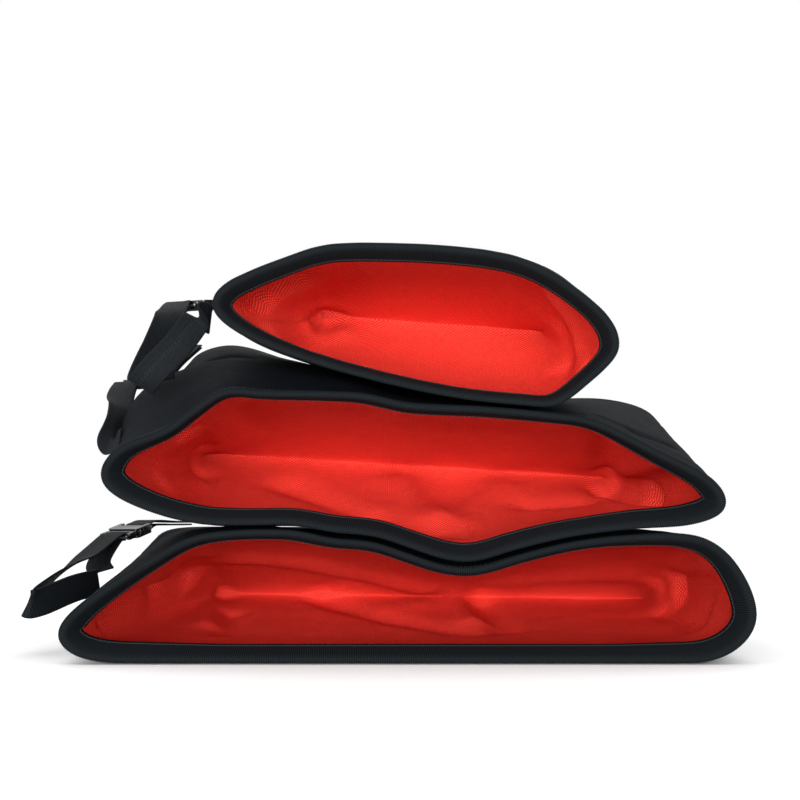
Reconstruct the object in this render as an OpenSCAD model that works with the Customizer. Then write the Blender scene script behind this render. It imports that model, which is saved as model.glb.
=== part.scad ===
/* [Stack] */
// Distance from the origin, under the middle of the large pouch, forward to the three mouths
mouth_y = 172; // [165:1:180]
// Depth of the large pouch from its mouth to its base
large_depth = 344; // [335:1:350]
// Depth of the medium pouch
medium_depth = 290; // [280:1:300]
// Depth of the small pouch
small_depth = 230; // [222:1:236]

/* [Cloth] */
// Thickness of the coated outer cloth
outer_t = 1.2; // [0.8:0.1:1.4]
// Thickness of the red lining
lining_t = 0.8; // [0.6:0.1:1.0]
// Air left between two layers of cloth
ply_gap = 0.2; // [0.1:0.05:0.3]
// Distance between the lining's base and the outer base
lining_back = 9; // [6:1:12]

/* [Mouth binding] */
// Depth of the folded tape, from the mouth edge into the pouch
binding_depth = 14; // [10:1:16]
// Thickness of the tape
binding_t = 1.2; // [0.8:0.1:1.4]
// Depth at which the panel is level again behind its flared mouth edge
flare_end = 45; // [35:1:60]

/* [Base piping] */
// Diameter of the red piping
piping_d = 3; // [2:0.2:3.6]

/* [Webbing and buckle] */
// Width of the webbing
webbing_w = 20; // [18:0.5:20]
// Thickness of the webbing
webbing_t = 1.6; // [1.2:0.1:1.8]
// Width of the buckle across its socket
buckle_w = 28; // [27:0.5:30]
// Thickness of the buckle
buckle_t = 8; // [7:0.5:9]
// Turn of the buckle about the vertical
buckle_yaw = -104; // [-110:1:-98]
// Dip of the plug's end
buckle_dip = 13; // [10:1:16]

/* [Hidden] */

cloth_black = "#1b1e22";
tape_black = "#15171a";
webbing_black = "#202428";
plastic_black = "#0f1012";
lining_red = "#d9261c";
piping_red = "#c02020";

steps = 2;              // samples between two points of an outline
rows_behind_flare = 4;  // rows of facets behind the flared edge
front_gap = 0.4;        // the cloth stops this far behind the fold of the tape

// Each pouch: [depth, points above, points below, points above at the base, points below at the base,
// the same for the lining's base, how far the edge flares above, below and at the sides, piping inset].
// Points are [x, z]. Those above run from the left seam to the right one, those below run back.
large = [
    large_depth,
    [[-226, 22], [-204, 44], [-158, 73], [-130, 85], [-75, 87], [-48, 81], [-20, 79], [19, 65],
     [43, 62], [66, 69], [105, 79], [150, 84], [190, 83], [213, 65], [226, 35]],
    [[219, 15], [192, 0], [128, 0], [64, 0], [0, 0], [-64, 0], [-128, 0], [-192, 0], [-218, 7]],
    [[-244, 48], [-243, 75], [-234, 93], [-205, 98], [-160, 98], [-110, 98], [-50, 98], [0, 98],
     [50, 98], [90, 98], [130, 98], [170, 98], [212, 97], [238, 86], [245, 50]],
    [[240, 12], [205, 0], [128, 0], [64, 0], [0, 0], [-64, 0], [-128, 0], [-205, 0], [-238, 10]],
    [[-174, 30], [-173, 55], [-166, 78], [-145, 84], [-110, 85], [-75, 85], [-30, 85], [0, 85],
     [43, 85], [80, 85], [120, 85], [160, 84], [205, 82], [226, 70], [231, 44]],
    [[228, 18], [205, 5], [128, 4], [64, 4], [0, 4], [-64, 4], [-128, 4], [-160, 5], [-172, 14]],
    [2, 5, 3],
    piping_d / 2
];
medium = [
    medium_depth,
    [[-200, 125], [-186, 142], [-157, 152], [-122, 178], [-95, 177], [-30, 176], [0, 169],
     [47, 167], [100, 162], [126, 157], [165, 137], [195, 122], [208, 107]],
    [[204, 95], [180, 87.5], [150, 86], [105, 80.5], [66, 71], [43, 64], [19, 67], [-20, 80.8],
     [-48, 83], [-75, 88.5], [-130, 88], [-170, 98], [-195, 111]],
    [[-200, 185], [-202, 218], [-197, 250], [-172, 262], [-142, 261], [-63, 234], [0, 219],
     [70, 212], [130, 213], [177, 214], [215, 206], [232, 192], [236, 165]],
    [[230, 125], [205, 103], [160, 100], [105, 99.5], [66, 99.5], [43, 99.5], [19, 99.5],
     [-20, 99.5], [-48, 99.5], [-75, 99.5], [-130, 100], [-180, 108], [-199, 145]],
    [[-176, 163], [-175, 190], [-168, 208], [-145, 210], [-110, 208], [-60, 203], [0, 198],
     [45, 195], [95, 191], [135, 188], [165, 184], [175, 172], [177, 148]],
    [[176, 128], [168, 116], [140, 114], [105, 114], [66, 114], [43, 114], [19, 114], [-20, 114],
     [-48, 114], [-75, 114], [-130, 114], [-167, 117], [-175, 135]],
    [2, 5, 3],
    piping_d / 5
];
small = [
    small_depth,
    [[-129, 235], [-117, 250], [-76, 267], [-50, 274.5], [-10, 275], [30, 273], [70, 267],
     [100, 253], [130, 229], [140, 210]],
    [[136, 197], [118, 180], [98, 165.5], [77, 166.2], [47, 168.8], [10, 175], [-45, 188.5],
     [-93, 205], [-121, 221]],
    [[-132, 280], [-128, 305], [-108, 322], [-60, 331], [0, 330], [50, 328], [90, 326],
     [125, 320], [140, 300], [142, 262]],
    [[139, 222], [118, 207], [98, 206], [77, 206], [47, 208], [10, 213], [-45, 226],
     [-93, 240], [-124, 253]],
    [[-72, 275], [-66, 305], [-55, 318], [-20, 317], [20, 314], [50, 311], [80, 306],
     [102, 300], [112, 285], [119, 260]],
    [[124, 232], [115, 215], [98, 213], [77, 214], [47, 217], [10, 222], [-30, 232],
     [-65, 240], [-75, 255]],
    [4, 2, 3],
    piping_d / 5
];

// Middle of each buckle, and the routes of the straps, as [x, distance behind the mouths, z]
large_buckle = [-236, 222, 90];
medium_buckle = [-216, 182, 210];
small_buckle = [-167, 140, 265];
// From the side seam near the mouth to the buckle
large_route = [[-233, 128, 50], [-243, 100, 46], [-256, 72, 38], [-263, 62, 36], [-264, 72, 40],
    [-260, 100, 51], [-256, 130, 61], [-251, 158, 70]];
medium_route = [[-201, 60, 152], [-208, 64, 148], [-216, 74, 150], [-221, 92, 163],
    [-224, 112, 179], [-225, 130, 191]];
small_route = [[-135, 38, 231], [-141, 31, 232], [-154, 24, 212], [-171, 22, 193], [-180, 28, 184],
    [-185, 42, 192], [-188, 58, 212], [-185, 72, 234], [-181, 84, 247]];
// The webbing's width direction at each of those points
large_spread = [[0, 0.3, 1], [0, 0.3, 1], [0, 0.3, 1], [0.3, 0.2, 1], [0.4, 0, 1],
    [0.6, 0, 0.8], [0.8, -0.1, 0.5], [0.95, -0.2, 0.1]];
medium_spread = [[0, 0.6, 1], [0, 0.6, 1], [0.4, 0.2, 1], [0.7, 0, 0.6], [0.9, -0.1, 0.2],
    [0.97, -0.24, 0]];
small_spread = [[0.3, 0.5, 1], [0.6, 0.3, 0.7], [0.75, 0.1, -0.6], [0.75, 0.1, -0.6], [0.8, 0.3, -0.5],
    [0.9, 0.2, -0.2], [0.95, 0, 0], [0.97, -0.15, 0], [0.97, -0.24, 0]];
// The loose tail of each long strap
large_tail = [[-246, 176, 65], [-240, 162, 58]];
medium_tail = [[-222, 140, 182], [-219, 128, 168]];
small_tail = [[-178, 88, 236], [-177, 76, 214], [-174, 66, 194]];
// From the buckle to the base corner
large_short = [[-226, 262, 99.5], [-216, 290, 100], [-208, 322, 101]];
medium_short = [[-209, 222, 221], [-203, 248, 239], [-192, 276, 259]];
small_short = [[-158, 176, 274], [-151, 198, 280], [-144, 220, 284]];

// Buckle, measured along its own length from its middle: the plug's end is at +x
socket_back = 23;       // far end of the socket, behind the middle
plug_front = 23;        // far end of the plug
bar_l = 3;              // length of each webbing bar
slot_l = 9.5;           // length of the slot that the webbing goes through
slot_w = 21;            // width of that slot
mouth_x = 5.3;          // open end of the socket
wall_t = 1.6;           // walls of the socket
bar_t = 2.4;            // thickness of the webbing bars
bend_r = 2.4;           // middle of the webbing as it turns round a bar
prong_root_x = 4.2;     // where a prong bends
prong_y = 9.6;          // distance of a prong from the middle
prong_l = 11;           // length of a prong
prong_w = 2.6;          // width of a prong
barb_r = 3;             // radius of the swelling that a finger presses
barb_out = 2;           // how far the swelling stands outside the prong
tongue_w = 4;           // width of the guide between the prongs
tongue_l = 9;           // how far the guide reaches into the socket
fit_gap = 0.4;          // between the moving parts of the buckle

// ---------- outlines ----------

function knot(p, i) = p[(i + len(p)) % len(p)];

// A smooth closed curve through the points, never below the table
function on_curve(p, i, t) =
    let (a = knot(p, i - 1), b = knot(p, i), c = knot(p, i + 1), d = knot(p, i + 2),
        q = 0.5 * (2 * b + (c - a) * t + (2 * a - 5 * b + 4 * c - d) * t * t
            + (3 * b - a - 3 * c + d) * t * t * t))
    [q[0], max(q[1], 0)];

function outline(above, below) =
    let (p = concat(above, below))
    [for (i = [0 : len(p) - 1], s = [0 : steps - 1]) on_curve(p, i, s / steps)];

function mix(a, b, t) = [for (i = [0 : len(a) - 1]) a[i] + (b[i] - a[i]) * t];

// Unit direction into the pouch at one sample of an outline
function inward(o, i) =
    let (run = knot(o, i + 1) - knot(o, i - 1))
    [run[1], -run[0]] / norm(run);

function inset(o, d) = [for (i = [0 : len(o) - 1]) o[i] + inward(o, i) * d];

// How much of the flare is left at a depth: none at the edge, all behind the tape, none again later
function flare_share(depth) =
    depth < binding_depth ? depth / binding_depth
    : max(0, (flare_end - depth) / (flare_end - binding_depth));

function flare(bag, n) =
    let (f = bag[7])
    f[2] + ((n[1] < 0 ? f[0] : f[1]) - f[2]) * n[1] * n[1];

// Outline of a pouch at a depth behind its mouth
function section(bag, depth) =
    let (o = mix(outline(bag[1], bag[2]), outline(bag[3], bag[4]), depth / bag[0]))
    [for (i = [0 : len(o) - 1])
        let (n = inward(o, i))
        o[i] + n * flare(bag, n) * flare_share(depth)];

// The outer cloth lies under the tape near the mouth and comes out to the full outline behind it
function cloth_inset(depth) =
    (binding_t + ply_gap) * (depth <= binding_depth ? 1
        : max(0, (flare_end - depth) / (flare_end - binding_depth)));

lining_inset = binding_t + outer_t + 2 * ply_gap;
inner_tape_inset = lining_inset + lining_t + ply_gap;

// The lining leaves the outer cloth behind the tape and ends in its own smaller base
function lining_section(bag, depth) =
    let (t = max(0, (depth - binding_depth) / (bag[0] - lining_back - binding_depth)))
    mix(inset(section(bag, min(depth, binding_depth)), lining_inset), outline(bag[5], bag[6]), t);

function stand(o, depth) = [for (p = o) [p[0], depth - mouth_y, p[1]]];

function depths(last) = concat([front_gap, binding_depth],
    [for (k = [0 : rows_behind_flare]) flare_end + (last - flare_end) * k / rows_behind_flare]);

// ---------- solids ----------

function quad(a, b, c, d) = [[a, b, c], [a, c, d]];

// Closed sheet between two grids of points
module sheet_between(outer, inner) {
    rows = len(outer);
    cols = len(outer[0]);
    half = rows * cols;
    faces_outer = [for (j = [0 : rows - 2], i = [0 : cols - 2])
        each quad(j * cols + i, (j + 1) * cols + i, (j + 1) * cols + i + 1, j * cols + i + 1)];
    faces_inner = [for (f = faces_outer) [for (k = [2 : -1 : 0]) f[k] + half]];
    front = [for (i = [0 : cols - 2]) each quad(i, i + 1, half + i + 1, half + i)];
    back = [for (i = [0 : cols - 2], s = (rows - 1) * cols)
        each quad(s + i + 1, s + i, half + s + i, half + s + i + 1)];
    left = [for (j = [0 : rows - 2], s = j * cols)
        each quad(s + cols, s, half + s, half + s + cols)];
    right = [for (j = [0 : rows - 2], s = j * cols + cols - 1)
        each quad(s, s + cols, half + s + cols, half + s)];
    polyhedron(concat([for (r = outer) each r], [for (r = inner) each r]),
        concat(faces_outer, faces_inner, front, back, left, right));
}

// Rings of points joined into a tube, closed on itself or capped at its ends
module tube(rings, closed) {
    n = len(rings);
    m = len(rings[0]);
    walls = [for (i = [0 : closed ? n - 1 : n - 2], k = [0 : m - 1])
        let (a = i * m, b = ((i + 1) % n) * m, l = (k + 1) % m)
        each quad(a + k, a + l, b + l, b + k)];
    caps = closed ? [] : [[for (k = [m - 1 : -1 : 0]) k], [for (k = [0 : m - 1]) (n - 1) * m + k]];
    polyhedron([for (r = rings) each r], concat(walls, caps));
}

// Samples from the left seam over the top, or from the right seam back under the pouch
function above(bag, o) = [for (i = [0 : steps * (len(bag[1]) - 1)]) o[i]];
function below(bag, o) = [for (i = [steps * (len(bag[1]) - 1) : len(o)]) knot(o, i)];

module cloth(bag, upper) {
    levels = depths(bag[0]);
    skins = [for (face = [0, outer_t])
        [for (d = levels)
            let (o = inset(section(bag, d), cloth_inset(d) + face))
            stand(upper ? above(bag, o) : below(bag, o), d)]];
    sheet_between(skins[0], skins[1]);
}

module lining(bag, upper) {
    levels = depths(bag[0] - lining_back);
    skins = [for (face = [0, lining_t])
        [for (d = levels)
            let (o = inset(lining_section(bag, d), face))
            stand(upper ? above(bag, o) : below(bag, o), d)]];
    sheet_between(skins[0], skins[1]);
}

module plate(o, depth, t) {
    translate([0, depth + t - mouth_y, 0])
        rotate([90, 0, 0])
            linear_extrude(t)
                polygon(o);
}

module base_panel(bag) {
    color(cloth_black)
        plate(section(bag, bag[0]), bag[0] + ply_gap, outer_t);
}

module lining_base(bag) {
    color(lining_red)
        plate(outline(bag[5], bag[6]), bag[0] - lining_back + ply_gap, lining_t);
}

module mouth_binding(bag) {
    edge = binding_t;
    inner = inner_tape_inset;
    profile = [[binding_depth, 0], [-edge / 2, 0], [-edge, edge], [-edge, inner], [-edge / 2, inner + edge],
        [binding_depth, inner + edge], [binding_depth, inner], [ply_gap, inner], [ply_gap, edge],
        [binding_depth, edge]];
    loops = [for (p = profile) stand(inset(section(bag, max(0, p[0])), p[1]), p[0])];
    color(tape_black)
        tube([for (i = [0 : len(loops[0]) - 1]) [for (k = [len(profile) - 1 : -1 : 0]) loops[k][i]]], true);
}

module base_piping(bag) {
    r = piping_d / 2;
    middle = bag[0] + ply_gap + outer_t + ply_gap + r;
    loops = [for (a = [0 : 60 : 300])
        stand(inset(section(bag, bag[0]), bag[8] + r * cos(a)), middle + r * sin(a))];
    color(piping_red)
        tube([for (i = [0 : len(loops[0]) - 1]) [for (k = [0 : 5]) loops[k][i]]], true);
}

// ---------- buckle and straps ----------

function unit(v) = v / norm(v);

// A point given in the buckle's own axes, as [x, distance behind the mouths, z]
function at_buckle(c, p) = let (u = p[0] * cos(buckle_dip) + p[2] * sin(buckle_dip))
    c + [u * cos(buckle_yaw) - p[1] * sin(buckle_yaw), u * sin(buckle_yaw) + p[1] * cos(buckle_yaw),
        p[2] * cos(buckle_dip) - p[0] * sin(buckle_dip)];

buckle_spread = [-sin(buckle_yaw), cos(buckle_yaw), 0];

module at(c) {
    translate(c - [0, mouth_y, 0])
        rotate([0, buckle_dip, buckle_yaw])
            children();
}

// Flat webbing along a route, its width turned along spread
module ribbon(route, spread) {
    n = len(route);
    rings = [for (i = [0 : n - 1])
        let (run = unit(route[min(n - 1, i + 1)] - route[max(0, i - 1)]),
            across = unit(spread[i] - run * (spread[i] * run)),
            face = cross(run, across),
            w = across * webbing_w / 2,
            t = face * webbing_t / 2,
            c = route[i] - [0, mouth_y, 0])
        [c - w - t, c + w - t, c + w + t, c - w + t]];
    color(webbing_black)
        tube(rings, false);
}

// Webbing turning round a bar: side is +1 at the plug and -1 at the socket
function bar_turn(c, side) =
    let (x = side * (plug_front - bar_l))
    [for (a = [90 : 45 : 270])
        at_buckle(c, [x + side * bend_r * cos(a), 0, bend_r * sin(a)])];

module long_strap(c, route, spread, tail) {
    turn = bar_turn(c, 1);
    onto = [for (x = [plug_front + 6, plug_front]) at_buckle(c, [x, 0, bend_r])];
    off = [for (x = [plug_front, plug_front + 5]) at_buckle(c, [x, 0, -bend_r])];
    ribbon(concat(route, onto, turn, off, tail),
        concat(spread, [for (i = [1 : 4 + len(turn) + len(tail)]) buckle_spread]));
}

module short_strap(c, route) {
    turn = bar_turn(c, -1);
    n = len(route) - 1;
    off = at_buckle(c, [-plug_front, 0, bend_r]);
    back = at_buckle(c, [-plug_front, 0, -bend_r]);
    over = [for (k = [n : -1 : 0]) route[k] + [0, 0, 1.1 + (n - k) * 0.3]];
    under = [for (k = [0 : n]) route[k] - [0, 0, 1.1 + (n - k) * 0.3]];
    ribbon(concat(over, [off], turn, [back], under),
        [for (i = [1 : 2 * len(route) + 2 + len(turn)]) buckle_spread]);
}

module rounded_plate(x0, x1, w, t, r) {
    translate([0, 0, -t / 2])
        linear_extrude(t)
            union() {
                translate([x0 + r, -w / 2])
                    square([x1 - x0 - 2 * r, w]);
                translate([x0, r - w / 2])
                    square([x1 - x0, w - 2 * r]);
                for (x = [x0 + r, x1 - r], y = [r - w / 2, w / 2 - r])
                    translate([x, y])
                        circle(r, $fn = 32);
            }
}

module buckle_socket(c) {
    slot_x = bar_l - socket_back;
    cavity_x = slot_x + slot_l + bar_l;
    color(plastic_black)
        at(c)
            difference() {
                rounded_plate(-socket_back, mouth_x, buckle_w, buckle_t, 3);
                rounded_plate(slot_x, slot_x + slot_l, slot_w, buckle_t + 1, 1);
                translate([cavity_x, -buckle_w / 2 - 1, wall_t - buckle_t / 2])
                    cube([mouth_x - cavity_x + 1, buckle_w + 2, buckle_t - 2 * wall_t]);
                for (s = [-1, 1])
                    translate([-socket_back - 1, -buckle_w / 2 - 1, s > 0 ? bar_t / 2 : -buckle_t / 2 - 1])
                        cube([bar_l + 2, buckle_w + 2, buckle_t / 2 - bar_t / 2 + 1]);
            }
}

module buckle_plug(c) {
    inner_t = buckle_t - 2 * wall_t - 2 * fit_gap;
    root_x = prong_root_x + prong_w / 2 + fit_gap;
    tongue_x = mouth_x - tongue_l;
    color(plastic_black)
        at(c) {
            difference() {
                rounded_plate(root_x, plug_front, buckle_w - 1, inner_t + 1.2, 2);
                rounded_plate(plug_front - bar_l - slot_l, plug_front - bar_l, slot_w, buckle_t, 1);
                for (s = [-1, 1])
                    translate([plug_front - bar_l - 1, -buckle_w, s > 0 ? bar_t / 2 : -buckle_t])
                        cube([bar_l + 2, 2 * buckle_w, buckle_t - bar_t / 2]);
            }
            translate([tongue_x, -tongue_w / 2, -inner_t / 2])
                cube([root_x + 1 - tongue_x, tongue_w, inner_t]);
        }
}

// A prong reaches from its root into the socket and swells outwards near its tip
module prong(c, side) {
    inner_t = buckle_t - 2 * wall_t - 2 * fit_gap;
    color(plastic_black)
        at(c)
            translate([prong_root_x, side * prong_y, -inner_t / 2]) {
                cylinder(inner_t, r = prong_w / 2, $fn = 32);
                translate([barb_r - prong_l, -prong_w / 2, 0])
                    cube([prong_l - barb_r, prong_w, inner_t]);
                translate([barb_r - prong_l, side * barb_out, 0])
                    cylinder(inner_t, r = barb_r, $fn = 32);
            }
}

// ---------- one module for each node ----------

module large_top_panel() {
    color(cloth_black)
        cloth(large, true);
}
module large_bottom_panel() {
    color(cloth_black)
        cloth(large, false);
}
module large_lining_top() {
    color(lining_red)
        lining(large, true);
}
module large_lining_bottom() {
    color(lining_red)
        lining(large, false);
}
module medium_top_panel() {
    color(cloth_black)
        cloth(medium, true);
}
module medium_bottom_panel() {
    color(cloth_black)
        cloth(medium, false);
}
module medium_lining_top() {
    color(lining_red)
        lining(medium, true);
}
module medium_lining_bottom() {
    color(lining_red)
        lining(medium, false);
}
module small_top_panel() {
    color(cloth_black)
        cloth(small, true);
}
module small_bottom_panel() {
    color(cloth_black)
        cloth(small, false);
}
module small_lining_top() {
    color(lining_red)
        lining(small, true);
}
module small_lining_bottom() {
    color(lining_red)
        lining(small, false);
}

large_top_panel();
large_bottom_panel();
base_panel(large);  // large_base_panel
base_piping(large);  // large_base_piping
large_lining_top();
large_lining_bottom();
lining_base(large);  // large_lining_base
mouth_binding(large);  // large_mouth_binding
long_strap(large_buckle, large_route, large_spread, large_tail);  // large_long_strap
short_strap(large_buckle, large_short);  // large_short_strap
buckle_socket(large_buckle);  // large_buckle_socket
buckle_plug(large_buckle);  // large_buckle_plug
prong(large_buckle, 1);  // large_left_prong
prong(large_buckle, -1);  // large_right_prong

medium_top_panel();
medium_bottom_panel();
base_panel(medium);  // medium_base_panel
base_piping(medium);  // medium_base_piping
medium_lining_top();
medium_lining_bottom();
lining_base(medium);  // medium_lining_base
mouth_binding(medium);  // medium_mouth_binding
long_strap(medium_buckle, medium_route, medium_spread, medium_tail);  // medium_long_strap
short_strap(medium_buckle, medium_short);  // medium_short_strap
buckle_socket(medium_buckle);  // medium_buckle_socket
buckle_plug(medium_buckle);  // medium_buckle_plug
prong(medium_buckle, 1);  // medium_left_prong
prong(medium_buckle, -1);  // medium_right_prong

small_top_panel();
small_bottom_panel();
base_panel(small);  // small_base_panel
base_piping(small);  // small_base_piping
small_lining_top();
small_lining_bottom();
lining_base(small);  // small_lining_base
mouth_binding(small);  // small_mouth_binding
long_strap(small_buckle, small_route, small_spread, small_tail);  // small_long_strap
short_strap(small_buckle, small_short);  // small_short_strap
buckle_socket(small_buckle);  // small_buckle_socket
buckle_plug(small_buckle);  // small_buckle_plug
prong(small_buckle, 1);  // small_left_prong
prong(small_buckle, -1);  // small_right_prong
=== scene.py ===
import math

import bmesh
import bpy
import numpy as np
from mathutils import Matrix, Vector, noise
from mathutils.bvhtree import BVHTree


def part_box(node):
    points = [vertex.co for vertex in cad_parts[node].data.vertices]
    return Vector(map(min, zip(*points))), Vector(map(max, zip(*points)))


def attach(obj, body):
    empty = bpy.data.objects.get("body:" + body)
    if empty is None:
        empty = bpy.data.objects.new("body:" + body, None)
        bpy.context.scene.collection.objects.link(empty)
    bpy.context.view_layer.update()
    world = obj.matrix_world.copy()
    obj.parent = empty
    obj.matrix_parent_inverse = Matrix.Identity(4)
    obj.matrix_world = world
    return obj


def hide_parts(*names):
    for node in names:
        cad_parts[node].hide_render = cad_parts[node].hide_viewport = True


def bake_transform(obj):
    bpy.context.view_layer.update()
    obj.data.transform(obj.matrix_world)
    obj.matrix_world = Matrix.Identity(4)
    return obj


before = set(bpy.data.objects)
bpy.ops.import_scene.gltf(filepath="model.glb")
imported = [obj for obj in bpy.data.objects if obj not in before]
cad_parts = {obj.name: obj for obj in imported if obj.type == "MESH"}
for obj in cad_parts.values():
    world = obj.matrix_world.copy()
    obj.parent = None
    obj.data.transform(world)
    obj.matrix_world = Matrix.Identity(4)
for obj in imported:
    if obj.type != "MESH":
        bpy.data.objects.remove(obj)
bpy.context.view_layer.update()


# ---------- Studio ----------
# A pale table in a white tent, lit by two wide panels in front and a broad soft light above.
# The camera stands low, just above the table, and looks up a little into the mouths.

camera = bpy.data.objects.new("camera", bpy.data.cameras.new("camera"))
camera.data.lens = 50
camera.data.sensor_width = 36
camera.data.shift_y = 0.1
camera.location = (-0.0045, -0.889, 0.067)
camera.rotation_euler = (math.radians(94.1), 0, 0)
bpy.context.scene.collection.objects.link(camera)
bpy.context.scene.camera = camera
bpy.context.scene.view_settings.view_transform = "Standard"


def linear(colour):
    """sRGB hex to linear colour."""
    parts = [int(colour[k:k + 2], 16) / 255 for k in (1, 3, 5)]
    return [c / 12.92 if c <= 0.04045 else ((c + 0.055) / 1.055) ** 2.4 for c in parts] + [1]


def put(tree, kind, sockets=None, **settings):
    """Adds a shader node with its settings. sockets holds values, or outputs to link from."""
    made = tree.nodes.new("ShaderNode" + kind)
    for key, value in settings.items():
        setattr(made, key, value)
    for key, value in (sockets or {}).items():
        if isinstance(value, bpy.types.NodeSocket):
            tree.links.new(value, made.inputs[key])
        else:
            made.inputs[key].default_value = value
    return made


def new_material(name):
    """An empty material and its node tree, with the shader already on the output."""
    material = bpy.data.materials.new(name)
    material.use_nodes = True
    tree = material.node_tree
    return material, tree, tree.nodes["Principled BSDF"]


def add_light(name, place, aim, size, watts):
    light = bpy.data.objects.new(name, bpy.data.lights.new(name, "AREA"))
    light.data.shape = "RECTANGLE"
    light.data.size, light.data.size_y = size
    light.data.energy = watts
    light.location = place
    light.rotation_euler = (Vector(aim) - Vector(place)).to_track_quat("-Z", "Y").to_euler()
    bpy.context.scene.collection.objects.link(light)


add_light("front_panel", (-0.5, -2.3, 0.4), (0, 0, 0.13), (1.6, 0.5), 32)
add_light("low_panel", (-0.1, -2.3, 0.1), (0, 0, 0.16), (1.8, 0.16), 72)
# The ceiling's light leans forward from behind the pouches, so that little of it falls into them
ceiling = bpy.data.objects.new("ceiling_softbox", bpy.data.lights.new("ceiling_softbox", "SUN"))
ceiling.data.energy = 2.1
ceiling.data.angle = math.radians(100)
ceiling.rotation_euler = (math.radians(-15), 0, 0)
bpy.context.scene.collection.objects.link(ceiling)
# The tent is plain white where the camera sees it and dimmer as a source of light
world = bpy.data.worlds.new("white_tent")
world.use_nodes = True
backdrop = world.node_tree.nodes["Background"]
seen = put(world.node_tree, "LightPath").outputs["Is Camera Ray"]
strength = put(world.node_tree, "MapRange", {"Value": seen, "To Min": 0.6, "To Max": 1.0})
world.node_tree.links.new(strength.outputs[0], backdrop.inputs["Strength"])
backdrop.inputs["Color"].default_value = (1, 1, 1, 1)
bpy.context.scene.world = world

table_mesh = bmesh.new()
bmesh.ops.create_grid(table_mesh, x_segments=1, y_segments=1, size=30)
table_data = bpy.data.meshes.new("table")
table_mesh.to_mesh(table_data)
table_mesh.free()
table = bpy.data.objects.new("table", table_data)
bpy.context.scene.collection.objects.link(table)
# Matt lacquered board: plain white with no gloss, so that only soft contact shadows show
pale, _, pale_shader = new_material("matt_white_table")
pale_shader.inputs["Base Color"].default_value = linear("#f8f8f8")
pale_shader.inputs["Roughness"].default_value = 0.9
table_data.materials.append(pale)


# ---------- Outer cloth ----------
# Each pouch is cut from black plain-weave polyester with a coated back: an upper and a lower
# panel, sewn together down both sides. The cloth sags a little between its seams.

POUCHES = ["large", "medium", "small"]
CLOTH_T = 0.0011          # thickness of the coated cloth
GRID = 0.0045             # spacing of the mesh on cloth
END_IN = 0.028            # rays at a pouch's end fan out from this far inside its tip
FAN = 7                   # degrees between two of those rays
RIPPLE_SCALE = 16         # noise cells per metre in the cloth's own unevenness
CLEARANCE = 0.0025        # cloth that is pushed out stops this far short of the next surface


def cad_tree(*names):
    """The surfaces of CAD nodes, to be measured by rays."""
    joined = bmesh.new()
    for name in names:
        joined.from_mesh(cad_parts[name].data)
    tree = BVHTree.FromBMesh(joined)
    joined.free()
    return tree


def spaced(points, count):
    """The same line with its points evenly spaced."""
    points = np.array(points)
    run = np.concatenate([[0], np.cumsum(np.linalg.norm(np.diff(points, axis=0), axis=1))])
    at = np.linspace(0, run[-1], count)
    return np.stack([np.interp(at, run, points[:, k]) for k in range(points.shape[1])], axis=1)


def section(tree, y, inside, count):
    """Points round a pouch at one depth: over the top from left to right, then back below."""
    def height(x, sign):
        return tree.ray_cast(Vector((x, y, sign)), Vector((0, 0, -sign)))[0].z

    def middle(x):
        return (height(x, 1) + height(x, -1)) / 2

    def hit(x, z, angle):
        out = Vector((math.cos(angle), 0, math.sin(angle)))
        start = Vector((x, y, z))
        found = tree.ray_cast(start, out)[0] if inside else tree.ray_cast(start + out, -out)[0]
        return (found.x, found.z)

    ends = []
    for side in (-1, 1):
        z = middle(0)
        for _ in range(3):
            tip = tree.ray_cast(Vector((side, y, z)), Vector((-side, 0, 0)))[0].x
            z = middle(tip - side * END_IN)
        ends.append((tip - side * END_IN, z))
    (x0, z0), (x1, z1) = ends
    across = np.linspace(0, 1, 90)
    over = [hit(x0, z0, math.radians(a)) for a in range(180, 90, -FAN)]
    over += [hit(x0 + (x1 - x0) * t, z0 + (z1 - z0) * t, math.pi / 2) for t in across]
    over += [hit(x1, z1, math.radians(a)) for a in range(90 - FAN, -1, -FAN)]
    under = [over[-1]] + [hit(x1, z1, math.radians(a)) for a in range(-FAN, -90, -FAN)]
    under += [hit(x1 + (x0 - x1) * t, z1 + (z0 - z1) * t, -math.pi / 2) for t in across]
    under += [hit(x0, z0, math.radians(a)) for a in range(-90 - FAN, -180, -FAN)] + [over[0]]
    loop = np.concatenate([spaced(over, count + 1)[:-1], spaced(under, count + 1)[:-1]])
    for _ in range(4):
        loop = (np.roll(loop, 1, 0) + 2 * loop + np.roll(loop, -1, 0)) / 4
    return np.stack([loop[:, 0], np.full(len(loop), y), loop[:, 1]], axis=1)


def cloth_tube(names, y0, y1, inside, count, rows):
    """Rings of points from y0 to y1 on the CAD cloth."""
    tree = cad_tree(*names)
    return np.array([section(tree, y, inside, count) for y in np.linspace(y0, y1, rows)])


def ring_normals(rings):
    """Unit normals of a closed tube of rings, pointing out of the pouch."""
    round_way = np.roll(rings, -1, 1) - np.roll(rings, 1, 1)
    deep_way = np.gradient(rings, axis=0)
    normal = np.cross(round_way, deep_way)
    return normal / np.maximum(np.linalg.norm(normal, axis=2, keepdims=True), 1e-12)


def inward(loop):
    """Unit normals of a closed flat loop, pointing into the pouch."""
    run = np.roll(loop, -1, 0) - np.roll(loop, 1, 0)
    normal = np.stack([run[:, 2], np.zeros(len(loop)), -run[:, 0]], axis=1)
    return normal / np.linalg.norm(normal, axis=1, keepdims=True)


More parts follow.
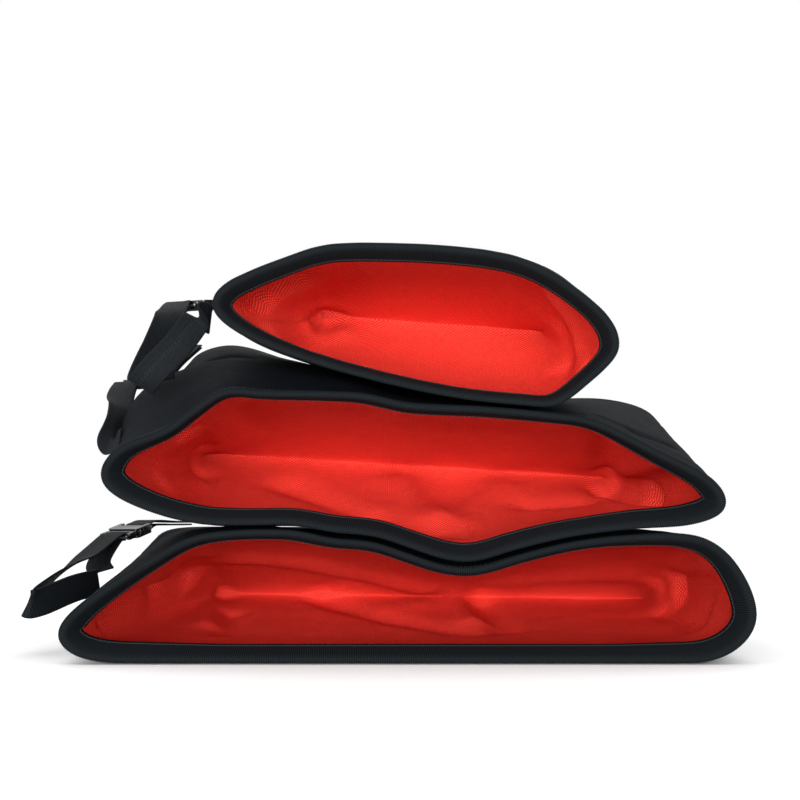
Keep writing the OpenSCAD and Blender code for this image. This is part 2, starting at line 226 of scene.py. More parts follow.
def crumple(rings, folds, ripple, seed, hold, room=None):
    """Moves the rings along their normals. Each fold is (side, x, depth, x, depth, width, height):
    it runs between two places on the upper ("over") or lower ("under") cloth, in millimetres, and
    height is outwards. ripple is the height of the cloth's own unevenness, and hold the share of
    the depth that eases in from each end. The cloth stays clear of the surfaces in room."""
    normal = ring_normals(rings)
    front = rings[0, 0, 1]
    half = rings.shape[1] // 2

    def on_cloth(side, x, depth):
        ring = rings[np.argmin(abs(rings[:, 0, 1] - front - depth / 1000))]
        part = ring[:half + 1] if side == "over" else ring[half:]
        return part[np.argmin(abs(part[:, 0] - x / 1000))]

    move = np.zeros(rings.shape[:2])
    for side, x0, depth0, x1, depth1, width, height in folds:
        start = on_cloth(side, x0, depth0)
        run = on_cloth(side, x1, depth1) - start
        along = np.clip(((rings - start) @ run) / max(run @ run, 1e-9), 0, 1)
        gap = np.linalg.norm(rings - start - along[..., None] * run, axis=2)
        move += height / 1000 * np.exp(-(gap / (width / 1000)) ** 2)
    for row, ring in enumerate(rings):
        for column, point in enumerate(ring):
            place = Vector(point) * RIPPLE_SCALE + Vector((seed, 0, 0))
            move[row, column] += ripple / 1000 * (noise.noise(place) + 0.5 * noise.noise(place * 2.3))
    depth = np.linspace(0, 1, len(rings))
    ease = np.clip(np.minimum(depth / max(hold[0], 1e-6), (1 - depth) / max(hold[1], 1e-6)), 0, 1)
    move *= (ease * ease * (3 - 2 * ease))[:, None]
    for row, column in np.argwhere(move > 0) if room else []:
        gap = room.ray_cast(Vector(rings[row, column]), Vector(normal[row, column]))[3]
        move[row, column] = min(move[row, column], max((gap or 1) - CLEARANCE, 0))
    return rings + normal * move[..., None]


def sew(name, places, across=None):
    """A cut of cloth, laid out as a grid and then put in its place. The UV map holds its real
    size in metres: along each row, by across for each column if that is given, and down each
    column."""
    rows, columns = places.shape[:2]
    cut = bmesh.new()
    bmesh.ops.create_grid(cut, x_segments=columns - 1, y_segments=rows - 1, size=0.5)
    cut.verts.ensure_lookup_table()
    if across is None:
        across = np.linalg.norm(np.diff(places[rows // 3], axis=0), axis=1).sum() / (columns - 1)
    down = np.zeros((rows, columns))
    down[1:] = np.cumsum(np.linalg.norm(np.diff(places, axis=0), axis=2), axis=0)
    flat = cut.loops.layers.uv.new("cut")
    for face in cut.faces:
        for corner in face.loops:
            row, column = divmod(corner.vert.index, columns)
            corner[flat].uv = (column * across, down[row, column])
    for vert, place in zip(cut.verts, places.reshape(-1, 3)):
        vert.co = place
    bmesh.ops.remove_doubles(cut, verts=cut.verts, dist=1e-6)
    for face in cut.faces:
        face.smooth = True
    for edge in cut.edges:
        edge.smooth = not edge.is_boundary
    data = bpy.data.meshes.new(name)
    cut.to_mesh(data)
    cut.free()
    made = bpy.data.objects.new(name, data)
    bpy.context.scene.collection.objects.link(made)
    return made


def thicken(piece, thickness, offset):
    """Gives a sheet its thickness: offset is 1 out along its normals and -1 in."""
    solid = piece.modifiers.new("thickness", "SOLIDIFY")
    solid.thickness = thickness
    solid.offset = offset


def weave_height(tree, pitch):
    """A plain weave on the cut's own map: + where the warp is on top and - where the weft is."""
    place = put(tree, "UVMap", uv_map="cut").outputs["UV"]
    parts = put(tree, "SeparateXYZ", {0: place})
    waves = []
    for axis in ("X", "Y"):
        turn = put(tree, "Math", {0: parts.outputs[axis], 1: math.pi / pitch}, operation="MULTIPLY")
        waves.append(put(tree, "Math", {0: turn.outputs[0]}, operation="SINE").outputs[0])
    return put(tree, "Math", {0: waves[0], 1: waves[1]}, operation="MULTIPLY").outputs[0]


def woven_cloth(name, dark, light, pitch, roughness, gloss, relief):
    """Woven polyester: the raised threads catch more light than the gaps between them, and that light
    and shade is painted into the colour, over a random unevenness of tone.
    """
    material, tree, shader = new_material(name)
    weave = weave_height(tree, pitch)
    cloudy = put(tree, "TexNoise", {"Scale": 38.0, "Detail": 4.0})
    # Painted highlight and shade of the weave: lighter where the threads rise, darker in the gaps
    share = put(tree, "MapRange", {"Value": weave, "From Min": -0.6, "From Max": 0.6})
    # The cloth's own random unevenness of tone
    uneven = put(tree, "MapRange", {"Value": cloudy.outputs["Fac"], "From Min": 0.3, "From Max": 0.7,
                                    "To Min": -0.12, "To Max": 0.12})
    total = put(tree, "Math", {0: share.outputs[0], 1: uneven.outputs[0]}, operation="ADD")
    # From dark, the painted shade of the gaps, to light, the painted highlight of the raised threads
    colour = put(tree, "ValToRGB", {"Fac": total.outputs[0]})
    colour.color_ramp.elements[0].color = linear(dark)
    colour.color_ramp.elements[1].color = linear(light)
    tree.links.new(colour.outputs["Color"], shader.inputs["Base Color"])
    rough = put(tree, "MapRange", {"Value": cloudy.outputs["Fac"], "To Min": roughness - 0.08,
                                   "To Max": roughness + 0.08})
    tree.links.new(rough.outputs[0], shader.inputs["Roughness"])
    bulge = put(tree, "Math", {0: weave}, operation="ABSOLUTE")
    bump = put(tree, "Bump", {"Height": bulge.outputs[0], "Strength": relief, "Distance": 0.0004})
    tree.links.new(bump.outputs["Normal"], shader.inputs["Normal"])
    shader.inputs["Specular IOR Level"].default_value = gloss
    return material


# Coated polyester: black with a blue-grey cast, matt, with a faint painted highlight where it bulges.
# Its threads are about 0.6 mm apart, and are drawn twice as coarse so that they show.
black_cloth = woven_cloth("black_plain_weave_polyester", "#020304", "#0b0f15", 0.0012, 0.78, 0.05, 0.4)

# Soft swells and creases of the outer cloth
OUTER_FOLDS = {
    "large": [("over", -130, 60, -40, 220, 50, 1.6)],
    "medium": [
        ("over", -185, 105, -185, 105, 50, 19), ("over", -170, 215, -170, 215, 42, 5),
        ("over", -75, 70, -40, 250, 55, 8), ("over", 15, 90, 25, 220, 35, 2.5),
        ("over", -170, 150, -155, 170, 7, -5), ("over", -155, 170, -130, 180, 7, -4),
        ("over", 135, 50, 160, 45, 7, -3), ("over", 160, 45, 190, 75, 6, -5),
    ],
    "small": [],
}
outer_rings = {}
for size in POUCHES:
    y0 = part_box(size + "_top_panel")[0].y
    y1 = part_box(size + "_top_panel")[1].y
    count = round(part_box(size + "_top_panel")[1].x / GRID * 2.1)
    rings = cloth_tube([size + "_top_panel", size + "_bottom_panel"], y0 + 0.002, y1 - 0.0005, False,
                       count, round((y1 - y0) / GRID))
    rings = crumple(rings, OUTER_FOLDS[size], 0.8, len(size), (0.1, 0.03))
    outer_rings[size] = rings
    for panel, places in (("top", rings[:, :count + 1]),
                          ("bottom", np.concatenate([rings[:, count:], rings[:, :1]], axis=1))):
        cloth = sew(f"{size}_{panel}_cloth", places)
        thicken(cloth, CLOTH_T, -1)
        cloth.data.materials.append(black_cloth)
        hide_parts(f"{size}_{panel}_panel")
        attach(cloth, size + "_pouch")


# ---------- Base panels ----------
# The far end of each pouch is closed by a strip of the same cloth. It was folded along its
# middle when the pouch lay flat, and the crease still shows.

def folded_end(loop, crease, push, rows, boxy):
    """Rings that close a pouch behind its last ring, onto a crease that lies push metres behind
    it. crease is the left and the right end, as (x, z). boxy is 2 for a round end, more for a
    squarer one. The crease's points above and below lie together, so that they can be merged."""
    count = len(loop) // 2
    left, right = (np.array([x, loop[0, 1] + push, z]) for x, z in crease)
    run = right - left
    share = np.clip(((loop - left) @ run) / (run @ run), 0, 1)
    share[1:count] = share[1:count] / 2 + share[:count:-1] / 2
    share[count + 1:] = share[1:count][::-1]
    fold = left + share[:, None] * run
    rings = []
    for angle in np.linspace(0, math.pi / 2, rows):
        ring = fold + (loop - fold) * max(math.cos(angle), 0) ** (2 / boxy)
        ring[:, 1] = loop[:, 1] + push * max(math.sin(angle), 0) ** (2 / boxy)
        rings.append(ring)
    return np.array(rings)


CREASE_IN = 0.03          # the crease ends this far inside the base's sides
CREASE_PUSH = -0.004      # the crease is pulled this far into the pouch
for size in POUCHES:
    loop = outer_rings[size][-1]
    lo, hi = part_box(size + "_base_panel")
    loop = loop + np.array([0, (lo.y + hi.y) / 2 - loop[0, 1], 0])
    crease = [(lo.x + CREASE_IN, (lo.z + hi.z) / 2), (hi.x - CREASE_IN, (lo.z + hi.z) / 2)]
    rings = folded_end(loop, crease, CREASE_PUSH, 16, 1.6)
    base = sew(size + "_base_cloth", np.concatenate([rings, rings[:, :1]], axis=1))
    thicken(base, CLOTH_T, 0)
    base.data.materials.append(black_cloth)
    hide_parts(size + "_base_panel")
    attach(base, size + "_pouch")


# ---------- Lining ----------
# A bright red plain-weave lining hangs inside each pouch and is caught under the mouth tape.
# It is cut narrower than the pouch and ends in its own creased base.

# Uncoated polyester: warm bright red with small pale dots painted where the threads rise, a painted
# highlight, and no shine.
# Its threads are about 0.8 mm apart, and are drawn at 1.4 mm so that they show.
red_cloth = woven_cloth("red_plain_weave_lining", "#a5100c", "#f04a3b", 0.0014, 0.75, 0.12, 0.6)
LINING_T = 0.0007
# Folds of the lining: deep pockets at the two ends, and soft folds between
LINING_FOLDS = {
    "large": [
        ("over", -210, 60, -190, 170, 9, 16), ("over", -190, 170, -180, 215, 13, 12),
        ("over", -165, 105, -175, 190, 13, 6), ("over", -165, 300, -165, 165, 11, 6),
        ("under", -150, 245, -135, 135, 11, 6), ("under", -180, 290, -160, 180, 12, -4),
        ("over", -130, 185, 10, 280, 20, -6), ("under", -75, 300, 50, 150, 18, 6),
        ("under", 70, 290, 80, 160, 14, 6), ("under", 45, 300, 55, 205, 13, -5),
        ("over", 100, 265, 190, 255, 20, -3), ("over", 215, 235, 200, 95, 11, 6),
        ("over", 220, 205, 220, 110, 9, 20), ("over", 220, 110, 220, 45, 8, 16),
        ("under", 215, 220, 215, 105, 11, 6),
    ],
    "medium": [
        ("over", -165, 110, -180, 65, 10, 16), ("over", -140, 75, -165, 200, 12, 6),
        ("under", -170, 215, -150, 120, 12, 6), ("under", -185, 120, -175, 195, 12, -4),
        ("under", -95, 205, -30, 125, 18, 8), ("under", -30, 125, 15, 90, 15, 6),
        ("under", 25, 135, -5, 225, 22, -6), ("under", 25, 135, 80, 225, 22, -5),
        ("under", 105, 175, 140, 185, 18, 6), ("over", 135, 60, 170, 225, 11, 8),
        ("under", 170, 230, 185, 160, 12, 12), ("under", 185, 160, 195, 45, 12, 12),
        ("over", 170, 225, 180, 70, 12, -4), ("under", 165, 190, 180, 70, 12, -4),
    ],
    "small": [
        ("over", -115, 10, -110, 65, 6, 6), ("over", -110, 65, -100, 85, 8, 16),
        ("over", -100, 85, -80, 80, 13, 20), ("under", -105, 95, -85, 165, 12, -6),
        ("under", -80, 170, -50, 180, 13, -4), ("over", -45, 60, -60, 155, 15, 5),
        ("under", -65, 190, -70, 125, 15, 6), ("over", 90, 60, 115, 125, 12, 6),
        ("over", 100, 60, 130, 90, 10, -4), ("under", 120, 120, 110, 70, 12, 6),
        ("under", 125, 65, 130, 15, 8, 12),
    ],
}
# How far the rolled mouth edge leans into the pouch, in millimetres: left, above, right, below
LEAN = {"large": (6, 0.6, 6, 2.6), "medium": (5.5, 1.2, 6.5, 2.6), "small": (4.5, 4, 4, 1.6)}


def lip_lean(size, count):
    """The lean in metres at count places round a mouth, from the left end over the top."""
    turn = np.arange(count) / count
    values = LEAN[size] + LEAN[size][:1]
    lean = np.interp(turn, [0, 0.12, 0.38, 0.5, 0.62, 0.88, 1], [values[0], values[1], values[1],
                     values[2], values[3], values[3], values[0]])
    for _ in range(count // 12):
        lean = (np.roll(lean, 1) + 2 * lean + np.roll(lean, -1)) / 4
    return lean[:, None] / 1000


TAPE_DEPTH = 0.0144       # how far the binding tape reaches behind the mouth
LEAN_END = 2.4            # the lean is gone this many tape depths behind the tape
FRONT_GAP = 0.0004        # the cloth stops this far behind the fold of the tape
mouth_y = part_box("large_top_panel")[0].y - FRONT_GAP
# How far the round of the lining's end reaches forward from its crease, and how far the crease
# hangs in front of the CAD's base
END_ROUND = {"large": 0.24, "medium": 0.2, "small": 0.15}
END_SLACK = 0.028
END_ROWS = 60             # rows of mesh round the lining's end
# Left and right end of the crease in each lining's base, (x, z) in millimetres
LINING_CREASE = {"large": ((-168, 36), (230, 31)), "medium": ((-172, 160), (172, 139)),
                 "small": ((-68, 269), (112, 256))}
for size in POUCHES:
    lo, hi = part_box(size + "_lining_top")
    count = round(hi.x / GRID * 2.1)
    sides = cloth_tube([size + "_lining_top", size + "_lining_bottom"], lo.y + 0.001,
                       hi.y - END_SLACK - END_ROUND[size], True, count,
                       round((hi.y - lo.y - END_SLACK - END_ROUND[size]) / GRID))
    crease = [(x / 1000, z / 1000) for x, z in LINING_CREASE[size]]
    end = folded_end(sides[-1], crease, END_ROUND[size], END_ROWS, 1.5)
    rings = np.concatenate([sides[:-1], end])
    room = cad_tree(*(f"{size}_{panel}_panel" for panel in ("top", "bottom", "base")))
    rings = crumple(rings, LINING_FOLDS[size], 0.8, 10 + len(size), (0.06, 0), room)
    for ring in rings:
        behind = (ring[0, 1] - mouth_y) / TAPE_DEPTH
        share = 0.9 * behind if behind < 1 else 0.9 * max(0, 1 - (behind - 1) / LEAN_END) ** 1.5
        if share > 0:
            ring += inward(ring) * lip_lean(size, 2 * count) * share
    last = rings[-1]
    last[1:count] = last[1:count] / 2 + last[:count:-1] / 2
    last[count + 1:] = last[1:count][::-1]
    edge = len(sides) + END_ROWS // 2
    below = np.concatenate([rings[:edge + 1, count:], rings[:edge + 1, :1]], axis=1)
    for part, places in (("top", rings[:edge + 1, :count + 1]), ("bottom", below),
                         ("base", np.concatenate([rings[edge:], rings[edge:, :1]], axis=1))):
        cloth = sew(f"{size}_{part}_lining", places)
        thicken(cloth, LINING_T, 1)
        cloth.data.materials.append(red_cloth)
        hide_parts(f"{size}_lining_{part}")
        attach(cloth, size + "_pouch")


# ---------- Base piping ----------
# The seam round each base is piped: a thin cord wrapped in a narrow strip of red polyester and
# caught between the base and the panels as they are sewn.

def smooth_loop(loop, count):
    """A closed line through the same points, with count points evenly spaced."""
    steps = max(2, math.ceil(2 * count / len(loop)))
    a, b, c, d = (np.roll(loop, k, 0)[:, None] for k in (1, 0, -1, -2))
    t = (np.arange(steps) / steps)[None, :, None]
    curve = 0.5 * (2 * b + (c - a) * t + (2 * a - 5 * b + 4 * c - d) * t * t
                   + (3 * b - a - 3 * c + d) * t ** 3)
    curve = curve.reshape(-1, 3)
    return spaced(np.concatenate([curve, curve[:1]]), count + 1)[:-1]


# How deep the piping sits in its seam, as a share of its radius
PIPING_INSET = {"large": 1, "medium": 0.8, "small": 1}
# Narrow woven strip pulled tight on its cord: a clean, slightly deeper red line round the base, with a
# painted highlight on its raised threads
red_piping = woven_cloth("red_woven_piping", "#8f1010", "#d82222", 0.0008, 0.6, 0.2, 0.5)
for size in POUCHES:
    lo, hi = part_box(size + "_base_piping")
    radius = (hi.y - lo.y) / 2
    loop = smooth_loop(outer_rings[size][-1], 420)
    side = inward(loop)
    middle = loop + side * radius * PIPING_INSET[size]
    middle[:, 1] = (lo.y + hi.y) / 2
    turns = np.linspace(0, 2 * math.pi, 11)
    rings = np.array([middle - side * radius * math.cos(a) - np.array([0, radius, 0]) * math.sin(a)
                      for a in turns])
    piping = sew(size + "_piping", np.concatenate([rings, rings[:, :1]], axis=1))
    piping.data.materials.append(red_piping)
    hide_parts(size + "_base_piping")
    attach(piping, size + "_pouch")


# ---------- Mouth binding ----------
# Black grosgrain tape is folded over the raw edge of cloth and lining and sewn through with
# one row of black thread. Its ribs run across the edge.

TAPE_PITCH = 0.0014       # rib spacing, coarsened from about 1 mm so that the ribs still show
TAPE_WARP = 0.0009        # spacing of the threads that run along the tape
RIB = 0.0003              # height of a rib
STITCH = 0.0033           # length of a stitch and the gap after it
THREAD_R = 0.0003         # radius of the thread
SEAM_SHARE = 0.8          # where the row of thread runs, as a share of the tape's depth
# Grosgrain: matt black, its fine ribs painted grey as a painted highlight where they catch the light,
# mottled by the loose fibres
grosgrain, tree, shader = new_material("black_polyester_grosgrain")
parts = put(tree, "SeparateXYZ", {0: put(tree, "UVMap", uv_map="cut").outputs["UV"]})
turn = put(tree, "Math", {0: parts.outputs["X"], 1: 2 * math.pi / TAPE_PITCH}, operation="MULTIPLY")
# Painted highlight: each rib is painted lighter where it catches the light
ribs = put(tree, "Math", {0: turn.outputs[0]}, operation="COSINE")
turn = put(tree, "Math", {0: parts.outputs["Y"], 1: 2 * math.pi / TAPE_WARP}, operation="MULTIPLY")
warp = put(tree, "Math", {0: turn.outputs[0]}, operation="COSINE")
mottle = put(tree, "TexNoise", {"Scale": 420.0, "Detail": 2.0})
total = put(tree, "Math", {0: ribs.outputs[0], 1: 0.26, 2: 0.26}, operation="MULTIPLY_ADD")
total = put(tree, "Math", {0: warp.outputs[0], 1: 0.08, 2: total.outputs[0]}, operation="MULTIPLY_ADD")
total = put(tree, "Math", {0: mottle.outputs["Fac"], 1: 0.4, 2: total.outputs[0]},
            operation="MULTIPLY_ADD")
colour = put(tree, "ValToRGB", {"Fac": total.outputs[0]})
colour.color_ramp.elements[0].position = 0.46
colour.color_ramp.elements[1].position = 0.92
colour.color_ramp.elements[0].color = linear("#020304")
colour.color_ramp.elements[1].color = linear("#262c30")
tree.links.new(colour.outputs["Color"], shader.inputs["Base Color"])
rough = put(tree, "MapRange", {"Value": mottle.outputs["Fac"], "To Min": 0.6, "To Max": 0.8})
tree.links.new(rough.outputs[0], shader.inputs["Roughness"])
shader.inputs["Specular IOR Level"].default_value = 0.04

# Twisted filament thread: a dark dotted line, a little smoother than the tape that it sinks into
thread, tree, shader = new_material("black_polyester_thread")
strands = put(tree, "TexNoise", {"Scale": 900.0, "Detail": 2.0})
colour = put(tree, "ValToRGB", {"Fac": strands.outputs["Fac"]})
colour.color_ramp.elements[0].color = linear("#0c0e10")
colour.color_ramp.elements[1].color = linear("#2c3235")
tree.links.new(colour.outputs["Color"], shader.inputs["Base Color"])
shader.inputs["Roughness"].default_value = 0.6
shader.inputs["Specular IOR Level"].default_value = 0.2

# The tape's cross-section: share of its depth, millimetres from its outer face, share of the lean
# that the edge has there, and 1 where it is ribbed. It goes from the back of the outer face
# round the fold to the back of the inner face, and returns inside.
PROFILE = [(0.97, 0, 0, 1), (0.8, -0.1, 0, 1), (0.6, -0.15, 0, 1), (0.4, 0, 0, 1), (0.2, 0, 0, 1),
           (0.09, 0.25, 0, 1), (0.03, 0.9, 0, 1), (0, 1.9, 0.02, 1), (0, 3.2, 0.05, 1),
           (0.04, 4.3, 0.1, 1), (0.1, 4.8, 0.16, 1), (0.22, 4.9, 0.3, 1), (0.4, 4.9, 0.5, 1),
           (0.6, 4.95, 0.72, 1), (0.8, 4.9, 0.88, 1), (0.97, 4.9, 1, 1), (1, 4.4, 1, 0),
           (0.98, 3.9, 1, 0), (0.5, 3.9, 0.6, 0), (0.12, 2.5, 0.1, 0), (0.5, 1, 0, 0),
           (0.98, 1, 0, 0), (1, 0.5, 0, 0)]

for size in POUCHES:
    lo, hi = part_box(size + "_mouth_binding")
    tree = cad_tree(size + "_mouth_binding")
    front, back = (section(tree, y, False, 110) for y in (lo.y + 0.0014, hi.y - 0.0004))
    depth = hi.y - lo.y
    length = np.linalg.norm(np.diff(front, axis=0), axis=1).sum()
    ribs = round(length / TAPE_PITCH)
    front, back = smooth_loop(front, 2 * ribs), smooth_loop(back, 2 * ribs)
    side = inward(front)
    lean = lip_lean(size, 2 * ribs)
    ridge = np.where(np.arange(2 * ribs) % 2 == 0, RIB / 2, -RIB / 2)[:, None]
    rows = []
    for share, across, leans, ribbed in PROFILE:
        place = front * (1 - share) + back * share
        place[:, 1] = lo.y + share * depth
        out = side * np.clip((across - 2.5) / 2.4, -1, 1) + np.array([0, -1, 0]) * (share < 0.1)
        rows.append(place + side * (across / 1000 + lean * leans) + out * ridge * ribbed)
    rows = np.array(rows + [rows[0]])
    tape = sew(size + "_binding", np.concatenate([rows, rows[:, :1]], axis=1), TAPE_PITCH / 2)
    tape.data.materials.append(grosgrain)
    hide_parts(size + "_mouth_binding")
    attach(tape, size + "_pouch")

    line = front * (1 - SEAM_SHARE) + back * SEAM_SHARE
    line[:, 1] = lo.y + SEAM_SHARE * depth
    for face, shift, out in (("outer", -0.0001, -1), ("inner", 0.0049 + lean * 0.88, 1)):
        count = round(length / STITCH) * 8
        path = smooth_loop(line + side * shift, count)
        up = inward(path) * out
        lift = np.clip(np.sin(np.arange(count) * math.pi / 4 + 0.6) * 1.6, -1, 0.55)[:, None]
        rows = [path + up * THREAD_R * (0.3 + lift + math.cos(a))
                + np.array([0, THREAD_R * math.sin(a), 0]) for a in np.linspace(0, 2 * math.pi, 7)]
        stitches = np.array(rows)
        stitches = sew(f"{size}_{face}_stitches", np.concatenate([stitches, stitches[:, :1]], axis=1))
        stitches.data.materials.append(thread)
        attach(stitches, size + "_pouch")


# ---------- Webbing straps ----------
# Each pouch hangs by a strap of 20 mm black polypropylene webbing down its left side: a long
# end from the side seam to the plug, with a loose tail, and a short end at the base corner.

WEB_W = 0.020
WEB_T = 0.0015
BEND_R = 0.0024           # middle of the webbing as it turns round a buckle bar
BUCKLE_HALF = 0.023       # from the middle of a buckle to either end
BAR = 0.003               # length of a buckle's bar along the strap
LEAD = 0.004              # the webbing runs straight this far beyond the buckle
PLY_GAP = 0.0011          # half the gap between the two plies of a short end where it is sewn
PLY_STEP = 0.0003         # how much wider that is at each point towards the buckle
WEB_RIB = 0.0012          # spacing of the ribs across the webbing
BUCKLES = {"large": (-236, 222, 90), "medium": (-216, 182, 210), "small": (-167, 140, 265)}
BUCKLE_TURN = Matrix.Rotation(math.radians(-104), 4, "Z") @ Matrix.Rotation(math.radians(13), 4, "Y")
# Points of the long end, with the direction that its width faces, then its tail
LONG_ENDS = {
    "large": ([(-233, 128, 50), (-243, 100, 46), (-256, 72, 38), (-263, 62, 36), (-264, 72, 40),
               (-260, 100, 51), (-256, 130, 61), (-251, 158, 70)],
              [(0, 0.3, 1), (0, 0.3, 1), (0, 0.3, 1), (0.3, 0.2, 1), (0.4, 0, 1), (0.6, 0, 0.8),
               (0.8, -0.1, 0.5), (0.95, -0.2, 0.1)],
              [(-246, 176, 65), (-240, 162, 58)]),
    "medium": ([(-201, 60, 152), (-207, 64, 149), (-211, 74, 152), (-214, 92, 164), (-216, 112, 180),
                (-220, 132, 192)],
               [(0, 0.6, 1), (0, 0.8, 0.8), (0.1, 1, 0.4), (0.15, 1, 0.1), (0.35, 0.9, 0),
                (0.8, 0.5, 0)],
               [(-222, 140, 182), (-219, 128, 168)]),
    "small": ([(-135, 38, 231), (-141, 31, 232), (-154, 24, 212), (-171, 22, 193), (-180, 28, 184),
               (-182, 42, 194), (-179, 58, 214), (-174, 74, 236), (-172, 88, 249)],
              [(0.3, 0.5, 1), (0.6, 0.3, 0.7), (0.75, 0.1, -0.6), (0.75, 0.1, -0.6), (0.8, 0.3, -0.5),
               (0.7, 0.7, -0.3), (0.5, 0.8, -0.1), (0.6, 0.7, 0), (0.9, 0.2, 0)],
              [(-178, 88, 236), (-177, 76, 214), (-174, 66, 194)]),
}
SHORT_ENDS = {
    "large": [(-226, 262, 99.5), (-216, 290, 100), (-208, 322, 101)],
    "medium": [(-209, 222, 221), (-203, 248, 239), (-192, 276, 259)],
    "small": [(-158, 176, 274), (-151, 198, 280), (-144, 220, 284)],
}


def at_depth(point):
    """(x, depth behind the mouths, z) in millimetres to the frame, in metres."""
    return Vector((point[0] / 1000, mouth_y + point[1] / 1000, point[2] / 1000))


def buckle_point(size, x, z):
    """A point given along and above the buckle's own middle, in metres."""
    return at_depth(BUCKLES[size]) + BUCKLE_TURN @ Vector((x, 0, z))


def round_bar(size, side):
    """The webbing's way on to, round and off a bar: side is 1 at the plug and -1 at the socket."""
    x = side * (BUCKLE_HALF - BAR)
    way = [buckle_point(size, side * (BUCKLE_HALF + LEAD), BEND_R)]
    way += [buckle_point(size, x + side * BEND_R * math.cos(math.radians(a)),
                         BEND_R * math.sin(math.radians(a))) for a in range(90, 271, 30)]
    return way + [buckle_point(size, side * (BUCKLE_HALF + LEAD), -BEND_R)]


def webbing(name, points, spreads):
    """Flat webbing swept along its points, with ribs across it."""
    points, spreads = np.array(points), np.array(spreads, float)
    a, b = np.vstack([2 * points[0] - points[1], points[:-1]]), points
    c = np.vstack([points[1:], 2 * points[-1] - points[-2]])
    d = np.vstack([c[1:], 2 * c[-1] - points[-1]])
    dense, facing = [], []
    for k in range(len(points) - 1):
        for t in np.arange(0, 1, 1 / 12):
            dense.append(0.5 * (2 * b[k] + (c[k] - a[k]) * t
                                + (2 * a[k] - 5 * b[k] + 4 * c[k] - d[k]) * t * t
                                + (3 * b[k] - a[k] - 3 * c[k] + d[k]) * t ** 3))
            facing.append(spreads[k] * (1 - t) + spreads[k + 1] * t)
    dense.append(points[-1])
    facing.append(spreads[-1])
    both = np.concatenate([dense, facing], axis=1)
    run = np.concatenate([[0], np.cumsum(np.linalg.norm(np.diff(both[:, :3], axis=0), axis=1))])
    at = np.linspace(0, run[-1], 2 * round(run[-1] / WEB_RIB) + 1)
    both = np.stack([np.interp(at, run, both[:, k]) for k in range(6)], axis=1)
    line, wide = both[:, :3], both[:, 3:]
    ahead = np.gradient(line, axis=0)
    ahead /= np.linalg.norm(ahead, axis=1, keepdims=True)
    wide -= ahead * (wide * ahead).sum(1, keepdims=True)
    wide /= np.linalg.norm(wide, axis=1, keepdims=True)
    up = np.cross(ahead, wide)
    half = [(-0.5 + t, 0.5) for t in (0.03, 0.1, 0.2, 0.35, 0.5, 0.65, 0.8, 0.9, 0.97)]
    outline = [(-0.5, 0)] + half + [(0.5, 0)] + [(-x, -z) for x, z in half] + [(-0.5, 0)]
    rib = np.where(np.arange(len(line)) % 2 == 0, 1.0, 0.86)[:, None]
    rings = np.stack([line + wide * x * WEB_W + up * z * WEB_T * (rib if abs(x) < 0.48 else 1)
                      for x, z in outline], axis=1)
    ends = [np.repeat(line[k][None], len(outline), 0)[None] for k in (0, -1)]
    return sew(name, np.concatenate([ends[0], rings, ends[1]]))


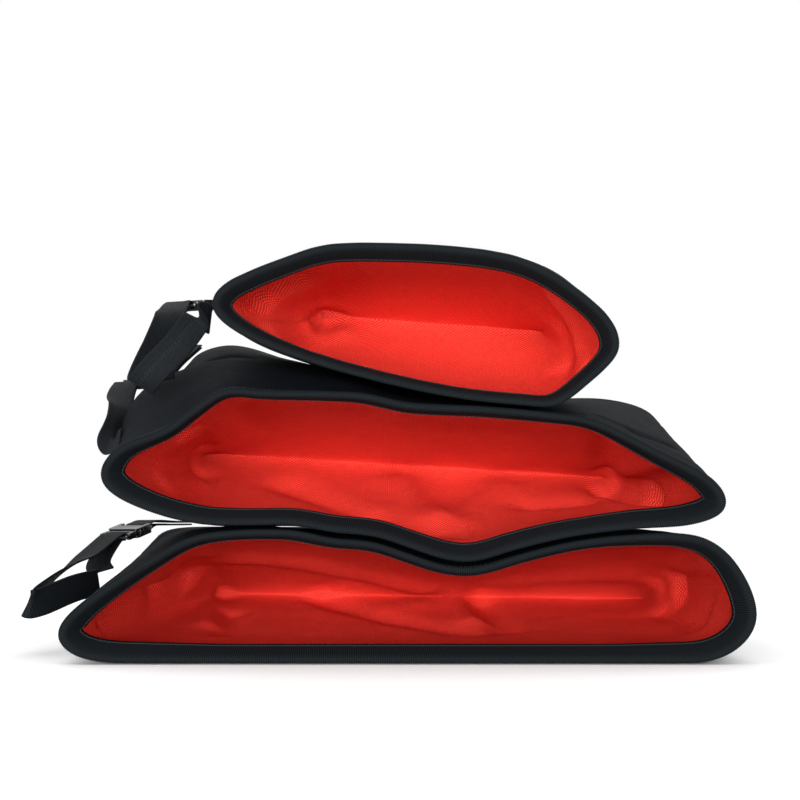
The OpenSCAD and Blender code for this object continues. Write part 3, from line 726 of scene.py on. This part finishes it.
# Polypropylene webbing: hard filaments, black with a faint grey painted highlight on the raised threads
black_webbing = woven_cloth("black_polypropylene_webbing", "#040506", "#14181c", 0.0014, 0.62, 0.08, 0.6)
for size in POUCHES:
    route, spread, loose = LONG_ENDS[size]
    level = BUCKLE_TURN @ Vector((0, 1, 0))
    bar = round_bar(size, 1)
    points = [at_depth(p) for p in route] + bar + [at_depth(p) for p in loose]
    strap = webbing(size + "_long_webbing", points, spread + [tuple(level)] * (len(bar) + len(loose)))
    strap.data.materials.append(black_webbing)
    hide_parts(size + "_long_strap")
    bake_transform(strap)

    bar = round_bar(size, -1)
    away = SHORT_ENDS[size]
    apart = [Vector((0, 0, PLY_GAP + (len(away) - 1 - k) * PLY_STEP)) for k in range(len(away))]
    over = [at_depth(p) + gap for p, gap in zip(away, apart)]
    under = [at_depth(p) - gap for p, gap in zip(away, apart)]
    points = over[::-1] + bar + under
    strap = webbing(size + "_short_webbing", points, [tuple(level)] * len(points))
    strap.data.materials.append(black_webbing)
    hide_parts(size + "_short_strap")
    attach(strap, size + "_pouch")


# ---------- Side-release buckles ----------
# Moulded black acetal: a hollow socket, and a plug whose two prongs spring into it. The
# moulding leaves small round edges and a low gloss.

EDGE_R = 0.00045          # round of the moulding's edges
# Injection-moulded acetal: near black, smoother than the cloth, with soft small highlights
acetal, acetal_tree, acetal_shader = new_material("black_moulded_acetal")
acetal_noise = put(acetal_tree, "TexNoise", {"Scale": 260.0, "Detail": 3.0})
acetal_rough = put(acetal_tree, "MapRange", {"Value": acetal_noise.outputs["Fac"], "To Min": 0.2,
                                             "To Max": 0.36})
acetal_tree.links.new(acetal_rough.outputs[0], acetal_shader.inputs["Roughness"])
acetal_bump = put(acetal_tree, "Bump", {"Height": acetal_noise.outputs["Fac"], "Strength": 0.15,
                                        "Distance": 0.0002})
acetal_tree.links.new(acetal_bump.outputs["Normal"], acetal_shader.inputs["Normal"])
acetal_shader.inputs["Base Color"].default_value = linear("#0d0e10")
acetal_shader.inputs["IOR"].default_value = 1.48

for size in POUCHES:
    for part, body in (("buckle_socket", "pouch"), ("buckle_plug", "plug"), ("left_prong", "left_prong"),
                       ("right_prong", "right_prong")):
        moulding = bmesh.new()
        moulding.from_mesh(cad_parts[f"{size}_{part}"].data)
        bmesh.ops.remove_doubles(moulding, verts=moulding.verts, dist=1e-6)
        bmesh.ops.dissolve_limit(moulding, angle_limit=math.radians(2), verts=moulding.verts,
                                 edges=moulding.edges)
        sharp = [e for e in moulding.edges if len(e.link_faces) == 2 and e.calc_face_angle() > 0.6]
        bmesh.ops.bevel(moulding, geom=sharp, offset=EDGE_R, segments=3, profile=0.5,
                        affect="EDGES", material=-1, clamp_overlap=True)
        for face in moulding.faces:
            face.smooth = True
        data = bpy.data.meshes.new(f"{size}_{part}_moulding")
        moulding.to_mesh(data)
        moulding.free()
        piece = bpy.data.objects.new(f"{size}_{part}_moulding", data)
        bpy.context.scene.collection.objects.link(piece)
        data.materials.append(acetal)
        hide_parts(f"{size}_{part}")
        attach(piece, f"{size}_{body}")
